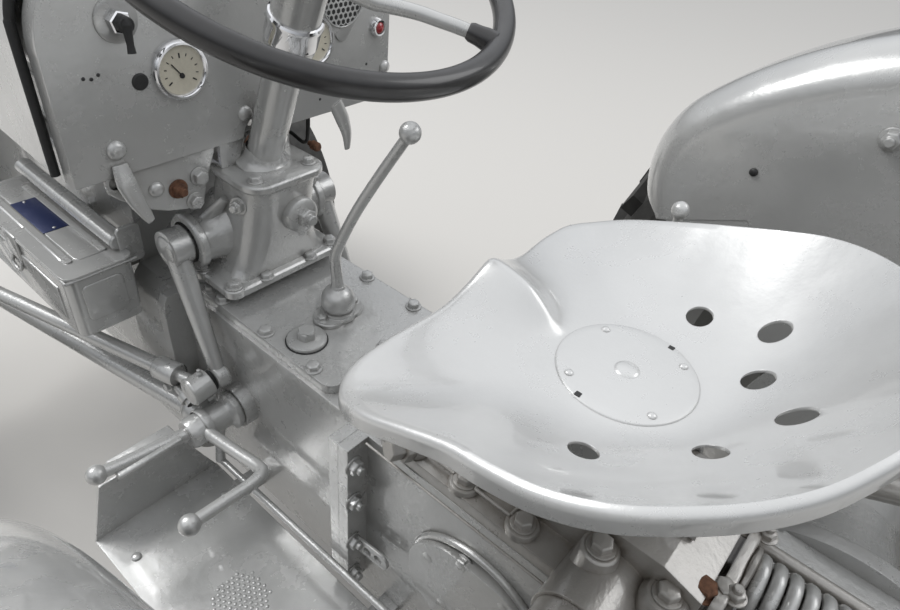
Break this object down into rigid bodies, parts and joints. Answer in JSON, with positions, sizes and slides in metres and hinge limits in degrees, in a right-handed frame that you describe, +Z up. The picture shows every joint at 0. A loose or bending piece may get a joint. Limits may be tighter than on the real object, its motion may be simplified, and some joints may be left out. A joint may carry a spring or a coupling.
{
  "type": "farm tractor",
  "caption": "Vintage two-wheel-drive farm tractor: steered front wheels, three-point rear lift, tilting hood, fenders, pan seat and round steering wheel.",
  "frame": {"origin": "centre of the footprint on the ground, under the middle of the tractor's length", "axes": "+X to the driver's right, +Y forward, +Z up"},
  "size_m": [1.597, 2.9072, 1.3297],
  "materials": {
    "grey_paint": "worn gloss paint",
    "cast_grey": "thick paint over castings",
    "dark_paint": "satin black paint",
    "rim_paint": "worn silver paint",
    "tyre_rubber": "dusty",
    "wheel_black": "worn gloss",
    "chrome": "polished",
    "rusty_steel": "rusty"
  },
  "bodies": {
    "root": {"center_housing": "cast_grey", "lift_cover": "cast_grey", "gearbox_housing": "cast_grey", "gearbox_cover": "cast_grey", "steering_box": "cast_grey", "steering_column": "cast_grey", "axle_trumpets": "cast_grey", "engine": "cast_grey", "manifold": "rusty_steel", "radiator": "dark_paint", "front_support": "cast_grey", "front_axle": "cast_grey", "radius_rods": "cast_grey", "fuel_tank": "grey_paint", "dash_panel": "grey_paint", "toolbox": "grey_paint", "fender_left": "grey_paint", "fender_right": "grey_paint", "footplates": "grey_paint", "seat": "grey_paint", "seat_spring": "dark_paint", "pedals": "cast_grey", "gear_lever": "cast_grey", "lift_quadrant": "cast_grey", "draft_spring": "cast_grey", "headlamps": "dark_paint"},
    "fan": {"fan": "dark_paint"},
    "toolbox_lid": {"toolbox_lid": "grey_paint"},
    "steering_wheel": {"steering_wheel": "wheel_black"},
    "hood": {"hood": "grey_paint", "grille": "grey_paint"},
    "lift_arms": {"lift_arms": "cast_grey"},
    "lift_rods": {"lift_rods": "cast_grey"},
    "drop_arm_left": {"drop_arm_left": "cast_grey"},
    "drag_link_left": {"drag_link_left": "cast_grey"},
    "knuckle_left": {"knuckle_left": "cast_grey"},
    "front_wheel_left": {"front_rim_left": "rim_paint", "front_tyre_left": "tyre_rubber"},
    "rear_wheel_left": {"rear_rim_left": "rim_paint", "rear_tyre_left": "tyre_rubber"},
    "lower_link_left": {"lower_link_left": "cast_grey"},
    "drop_arm_right": {"drop_arm_right": "cast_grey"},
    "drag_link_right": {"drag_link_right": "cast_grey"},
    "knuckle_right": {"knuckle_right": "cast_grey"},
    "front_wheel_right": {"front_rim_right": "rim_paint", "front_tyre_right": "tyre_rubber"},
    "rear_wheel_right": {"rear_rim_right": "rim_paint", "rear_tyre_right": "tyre_rubber"},
    "lower_link_right": {"lower_link_right": "cast_grey"}
  },
  "joints": [
    {"name": "rear_wheel_left", "type": "hinge", "parent": "root", "child": "rear_wheel_left", "pos_m": [-0.6605, -0.66437, 0.602], "axis": [1, 0, 0], "continuous": true},
    {"name": "rear_wheel_right", "type": "hinge", "parent": "root", "child": "rear_wheel_right", "pos_m": [0.6605, -0.66437, 0.602], "axis": [1, 0, 0], "continuous": true},
    {"name": "knuckle_left", "type": "hinge", "parent": "root", "child": "knuckle_left", "pos_m": [-0.498, 1.11363, 0.34], "axis": [0, 0, 1], "range_deg": [-35, 35]},
    {"name": "front_wheel_left", "type": "hinge", "parent": "knuckle_left", "child": "front_wheel_left", "pos_m": [-0.61, 1.11363, 0.34], "axis": [1, 0, 0], "continuous": true},
    {"name": "knuckle_right", "type": "hinge", "parent": "root", "child": "knuckle_right", "pos_m": [0.498, 1.11363, 0.34], "axis": [0, 0, 1], "range_deg": [-35, 35]},
    {"name": "front_wheel_right", "type": "hinge", "parent": "knuckle_right", "child": "front_wheel_right", "pos_m": [0.61, 1.11363, 0.34], "axis": [1, 0, 0], "continuous": true},
    {"name": "steering_wheel", "type": "hinge", "parent": "root", "child": "steering_wheel", "pos_m": [0, 0.05963, 1.234], "axis": [0, -0.3827, 0.9239], "range_deg": [-420, 420]},
    {"name": "drop_arm_left", "type": "hinge", "parent": "root", "child": "drop_arm_left", "pos_m": [-0.126, 0.21763, 0.84], "axis": [1, 0, 0], "range_deg": [-19, 19]},
    {"name": "drag_link_left", "type": "hinge", "parent": "drop_arm_left", "child": "drag_link_left", "pos_m": [-0.165, 0.14363, 0.65], "axis": [0.991, 0, 0.134], "range_deg": [-17.5, 17.5]},
    {"name": "drop_arm_right", "type": "hinge", "parent": "root", "child": "drop_arm_right", "pos_m": [0.126, 0.21763, 0.84], "axis": [1, 0, 0], "range_deg": [-19, 19]},
    {"name": "drag_link_right", "type": "hinge", "parent": "drop_arm_right", "child": "drag_link_right", "pos_m": [0.165, 0.14363, 0.65], "axis": [0.991, 0, -0.134], "range_deg": [-17.5, 17.5]},
    {"name": "fan", "type": "hinge", "parent": "root", "child": "fan", "pos_m": [0, 0.96563, 0.89], "axis": [0, 1, 0], "continuous": true},
    {"name": "hood", "type": "hinge", "parent": "root", "child": "hood", "pos_m": [0, 1.22063, 0.612], "axis": [-1, 0, 0], "range_deg": [0, 50]},
    {"name": "toolbox_lid", "type": "hinge", "parent": "root", "child": "toolbox_lid", "pos_m": [-0.157, 0.43363, 0.811], "axis": [0, 1, 0], "range_deg": [0, 95]},
    {"name": "lower_link_left", "type": "hinge", "parent": "root", "child": "lower_link_left", "pos_m": [-0.19, -0.72437, 0.385], "axis": [-1, 0, 0], "range_deg": [-28, 8]},
    {"name": "lower_link_right", "type": "hinge", "parent": "root", "child": "lower_link_right", "pos_m": [0.19, -0.72437, 0.385], "axis": [-1, 0, 0], "range_deg": [-28, 8]},
    {"name": "lift_arms", "type": "hinge", "parent": "root", "child": "lift_arms", "pos_m": [0, -0.46437, 0.75], "axis": [-1, 0, 0], "range_deg": [-21.5, 6.5]},
    {"name": "lift_rods", "type": "hinge", "parent": "lift_arms", "child": "lift_rods", "pos_m": [0, -0.77446, 0.86287], "axis": [-1, 0, 0], "range_deg": [-5.5, 18.5]}
  ],
  "couplings": [
    {"joint": "knuckle_right", "follows": "knuckle_left", "ratio": 1},
    {"joint": "steering_wheel", "follows": "knuckle_left", "ratio": 12},
    {"joint": "drop_arm_left", "follows": "knuckle_left", "ratio": 0.515},
    {"joint": "drop_arm_right", "follows": "knuckle_left", "ratio": -0.515},
    {"joint": "drag_link_left", "follows": "knuckle_left", "ratio": -0.476},
    {"joint": "drag_link_right", "follows": "knuckle_left", "ratio": 0.476},
    {"joint": "lower_link_right", "follows": "lower_link_left", "ratio": 1},
    {"joint": "lift_arms", "follows": "lower_link_left", "ratio": 0.746},
    {"joint": "lift_rods", "follows": "lower_link_left", "ratio": -0.636}
  ]
}
